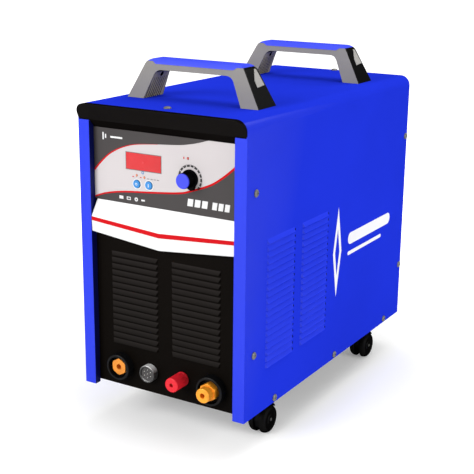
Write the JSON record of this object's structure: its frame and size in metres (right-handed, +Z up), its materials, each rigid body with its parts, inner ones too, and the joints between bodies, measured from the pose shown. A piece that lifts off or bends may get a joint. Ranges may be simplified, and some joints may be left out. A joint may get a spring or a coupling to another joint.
{
  "type": "plasma cutter unit",
  "caption": "Wheeled inverter plasma cutter: vented sheet-steel case with two lifting handles, front current control and torch sockets, rear fan and supply inlet.",
  "frame": {"origin": "on the floor under the middle of the case", "axes": "+Z up, -Y out of the control panel towards the operator, +X to the right as the operator faces the panel"},
  "size_m": [0.3268, 0.669, 0.628],
  "materials": {
    "brass": "machined",
    "breaker_grey": "moulded",
    "button_blue": "semi-gloss",
    "caster_black": "black paint",
    "circuit_board": "solder mask",
    "core_iron": "ferrite and varnished winding",
    "cover_blue": "satin powder coat",
    "display_block": "matte",
    "display_red": "tinted window",
    "fan_black": "moulded",
    "gland_black": "moulded nylon",
    "grip_blue": "soft matte",
    "guard_chrome": "plated wire",
    "handle_black": "moulded",
    "handle_grey": "fine grain",
    "knob_black": "matte",
    "knob_blue": "semi-gloss",
    "lamp": "diffused",
    "lever_black": "moulded",
    "overlay_print": "printed film, semi-gloss",
    "panel_black": "fine moulded grain",
    "panel_paint": "black powder coat",
    "post_red": "semi-gloss",
    "sink_aluminium": "extruded",
    "socket_black": "moulded",
    "socket_chrome": "plated",
    "socket_grey": "moulded",
    "trim_white": "smooth",
    "wheel_nylon": "moulded nylon",
    "zinc_steel": "zinc plated"
  },
  "bodies": {
    "case": {"air_inlet": "brass", "air_valve": "brass", "base_tray": "panel_paint", "breaker_body": "breaker_grey", "cable_gland": "gland_black", "caster_bolts": "zinc_steel", "caster_plates": "caster_black", "chevron_band": "trim_white", "control_board": "circuit_board", "control_panel": "overlay_print", "control_socket_insert": "socket_grey", "control_socket_shell": "socket_chrome", "cover_screws": "zinc_steel", "display_module": "display_block", "display_window": "display_red", "fan_frame": "fan_black", "fan_guard": "guard_chrome", "front_handle_core": "handle_black", "front_handle_faces": "handle_grey", "front_handle_grip": "grip_blue", "front_panel": "panel_black", "ground_stud": "zinc_steel", "handle_screws": "zinc_steel", "heat_sink": "sink_aluminium", "indicator_leds": "lamp", "main_transformer": "core_iron", "outer_cover": "cover_blue", "output_choke": "core_iron", "pilot_post_base": "post_red", "pilot_post_stud": "brass", "potentiometer": "zinc_steel", "power_board": "circuit_board", "rear_handle_core": "handle_black", "rear_handle_faces": "handle_grey", "rear_handle_grip": "grip_blue", "rear_panel": "panel_paint", "torch_socket_fitting": "brass", "torch_socket_housing": "socket_black", "visor": "panel_black", "work_socket_contact": "brass", "work_socket_housing": "socket_black"},
    "knob": {"current_knob": "knob_black", "knob_cap": "knob_blue"},
    "left_button": {"left_button": "button_blue"},
    "right_button": {"right_button": "button_blue"},
    "post_cap": {"pilot_post_cap": "post_red"},
    "fan": {"fan_rotor": "fan_black"},
    "lever": {"breaker_lever": "lever_black"},
    "swivel_fl": {"caster_hood_fl": "caster_black"},
    "wheel_fl": {"caster_wheels_fl": "wheel_nylon", "caster_axle_fl": "zinc_steel"},
    "swivel_fr": {"caster_hood_fr": "caster_black"},
    "wheel_fr": {"caster_wheels_fr": "wheel_nylon", "caster_axle_fr": "zinc_steel"},
    "swivel_rl": {"caster_hood_rl": "caster_black"},
    "wheel_rl": {"caster_wheels_rl": "wheel_nylon", "caster_axle_rl": "zinc_steel"},
    "swivel_rr": {"caster_hood_rr": "caster_black"},
    "wheel_rr": {"caster_wheels_rr": "wheel_nylon", "caster_axle_rr": "zinc_steel"}
  },
  "joints": [
    {"name": "knob_turn", "type": "hinge", "parent": "case", "child": "knob", "pos_m": [0.0505, -0.313, 0.458], "axis": [0, 1, 0], "range_deg": [-135, 135]},
    {"name": "left_button_press", "type": "slide", "parent": "case", "child": "left_button", "axis": [0, 1, 0], "range_m": [0, 0.0015]},
    {"name": "right_button_press", "type": "slide", "parent": "case", "child": "right_button", "axis": [0, 1, 0], "range_m": [0, 0.0015]},
    {"name": "post_cap_turn", "type": "hinge", "parent": "case", "child": "post_cap", "pos_m": [0.0335, -0.313, 0.1165], "axis": [0, -1, 0], "range_deg": [0, 360]},
    {"name": "fan_spin", "type": "hinge", "parent": "case", "child": "fan", "pos_m": [0, 0.283, 0.357], "axis": [0, 1, 0], "continuous": true},
    {"name": "breaker_throw", "type": "hinge", "parent": "case", "child": "lever", "pos_m": [-0.092, 0.3125, 0.51], "axis": [1, 0, 0], "range_deg": [0, 50]},
    {"name": "caster_swivel_fl", "type": "hinge", "parent": "case", "child": "swivel_fl", "pos_m": [-0.124, -0.168, 0.065], "axis": [0, 0, 1], "continuous": true},
    {"name": "wheel_spin_fl", "type": "hinge", "parent": "swivel_fl", "child": "wheel_fl", "pos_m": [-0.124, -0.148, 0.025], "axis": [1, 0, 0], "continuous": true},
    {"name": "caster_swivel_fr", "type": "hinge", "parent": "case", "child": "swivel_fr", "pos_m": [0.124, -0.168, 0.065], "axis": [0, 0, 1], "continuous": true},
    {"name": "wheel_spin_fr", "type": "hinge", "parent": "swivel_fr", "child": "wheel_fr", "pos_m": [0.124, -0.188, 0.025], "axis": [1, 0, 0], "continuous": true},
    {"name": "caster_swivel_rl", "type": "hinge", "parent": "case", "child": "swivel_rl", "pos_m": [-0.124, 0.198, 0.065], "axis": [0, 0, 1], "continuous": true},
    {"name": "wheel_spin_rl", "type": "hinge", "parent": "swivel_rl", "child": "wheel_rl", "pos_m": [-0.124, 0.218, 0.025], "axis": [1, 0, 0], "continuous": true},
    {"name": "caster_swivel_rr", "type": "hinge", "parent": "case", "child": "swivel_rr", "pos_m": [0.124, 0.198, 0.065], "axis": [0, 0, 1], "continuous": true},
    {"name": "wheel_spin_rr", "type": "hinge", "parent": "swivel_rr", "child": "wheel_rr", "pos_m": [0.124, 0.218, 0.025], "axis": [1, 0, 0], "continuous": true}
  ]
}
